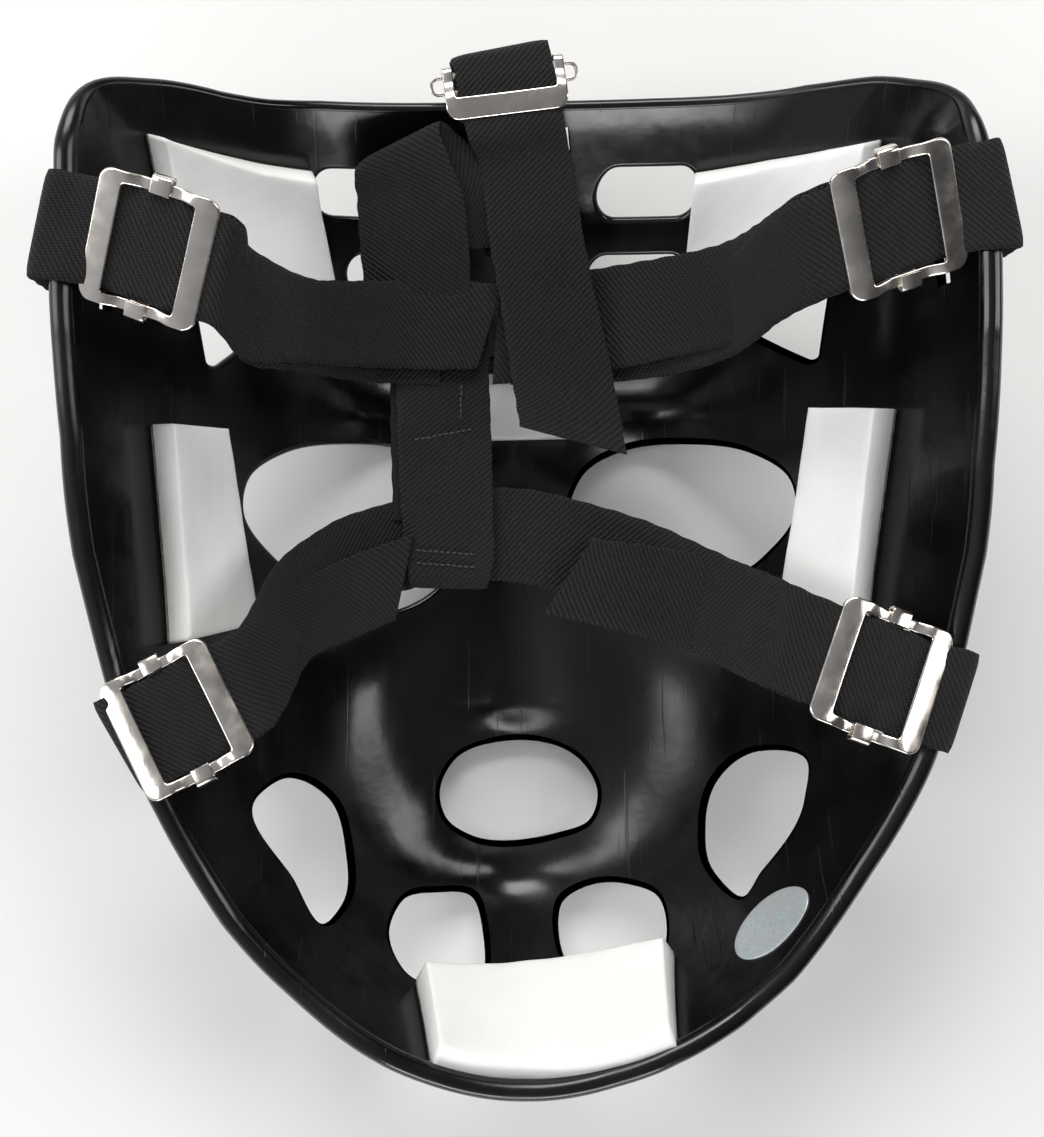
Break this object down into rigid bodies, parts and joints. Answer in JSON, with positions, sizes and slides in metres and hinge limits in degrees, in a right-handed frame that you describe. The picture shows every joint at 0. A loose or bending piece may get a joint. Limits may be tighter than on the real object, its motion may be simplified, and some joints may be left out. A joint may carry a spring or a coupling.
{
  "type": "goalie mask",
  "caption": "Moulded plastic ice hockey goalie mask with vent holes, foam pads and an elastic strap harness on sliding-bar buckles, lying face down.",
  "frame": {"origin": "under the middle of the whole mask, on the surface that its front rests on", "axes": "+X to the right of the open side as seen from behind, +Y towards the forehead, +Z out of the bowl towards the back of the head"},
  "size_m": [0.227, 0.258, 0.1002],
  "materials": {
    "shell_plastic": "glossy moulded",
    "foil_label": "hologram foil, blank",
    "white_foam": "closed-cell foam",
    "adhesive_tape": "double-sided tape",
    "black_elastic": "twill-woven elastic",
    "black_thread": "thread",
    "nickel_plate": "bright nickel plate",
    "nickel_bar": "bright nickel plate"
  },
  "bodies": {
    "mask": {"shell": "shell_plastic", "label": "foil_label", "forehead_pad_left": "white_foam", "forehead_pad_right": "white_foam", "brow_pad": "white_foam", "temple_pad_left": "white_foam", "temple_pad_right": "white_foam", "chin_pad": "white_foam", "pad_tapes": "adhesive_tape", "upper_left_strap": "black_elastic", "upper_right_strap": "black_elastic", "lower_left_strap": "black_elastic", "lower_right_strap": "black_elastic", "crown_strap": "black_elastic"},
    "harness": {"back_strap": "black_elastic", "harness_stitching": "black_thread"},
    "upper_left_buckle": {"upper_left_buckle_frame": "nickel_plate"},
    "upper_left_bar": {"upper_left_buckle_bar": "nickel_bar"},
    "upper_right_buckle": {"upper_right_buckle_frame": "nickel_plate"},
    "upper_right_bar": {"upper_right_buckle_bar": "nickel_bar"},
    "lower_left_buckle": {"lower_left_buckle_frame": "nickel_plate"},
    "lower_left_bar": {"lower_left_buckle_bar": "nickel_bar"},
    "lower_right_buckle": {"lower_right_buckle_frame": "nickel_plate"},
    "lower_right_bar": {"lower_right_buckle_bar": "nickel_bar"},
    "crown_buckle": {"crown_buckle_frame": "nickel_plate"},
    "crown_bar": {"crown_buckle_bar": "nickel_bar"}
  },
  "joints": [
    {"name": "harness_pull", "type": "slide", "parent": "mask", "child": "harness", "axis": [0, 0, 1], "range_m": [0, 0.09], "stiffness_N_per_m": 40, "springref_m": -0.002, "deforming": ["upper_left_strap", "upper_right_strap", "lower_left_strap", "lower_right_strap", "crown_strap"]},
    {"name": "upper_left_buckle_slide", "type": "slide", "parent": "mask", "child": "upper_left_buckle", "axis": [-0.9799, 0.1994, 0], "range_m": [-0.003, 0.002]},
    {"name": "upper_left_bar_slide", "type": "slide", "parent": "upper_left_buckle", "child": "upper_left_bar", "axis": [-0.9799, 0.1994, 0], "range_m": [-0.0015, 0.0015]},
    {"name": "upper_right_buckle_slide", "type": "slide", "parent": "mask", "child": "upper_right_buckle", "axis": [0.9781, 0.2079, 0], "range_m": [-0.003, 0.002]},
    {"name": "upper_right_bar_slide", "type": "slide", "parent": "upper_right_buckle", "child": "upper_right_bar", "axis": [0.9781, 0.2079, 0], "range_m": [-0.0015, 0.0015]},
    {"name": "lower_left_buckle_slide", "type": "slide", "parent": "mask", "child": "lower_left_buckle", "axis": [-0.866, -0.5, 0], "range_m": [-0.003, 0.002]},
    {"name": "lower_left_bar_slide", "type": "slide", "parent": "lower_left_buckle", "child": "lower_left_bar", "axis": [-0.866, -0.5, 0], "range_m": [-0.0015, 0.0015]},
    {"name": "lower_right_buckle_slide", "type": "slide", "parent": "mask", "child": "lower_right_buckle", "axis": [0.9537, -0.3007, 0], "range_m": [-0.003, 0.002]},
    {"name": "lower_right_bar_slide", "type": "slide", "parent": "lower_right_buckle", "child": "lower_right_bar", "axis": [0.9537, -0.3007, 0], "range_m": [-0.0015, 0.0015]},
    {"name": "crown_buckle_slide", "type": "slide", "parent": "mask", "child": "crown_buckle", "axis": [-0.1908, 0.9816, 0], "range_m": [-0.0012, 0.0012]},
    {"name": "crown_bar_slide", "type": "slide", "parent": "crown_buckle", "child": "crown_bar", "axis": [-0.1908, 0.9816, 0], "range_m": [-0.001, 0.001]}
  ]
}
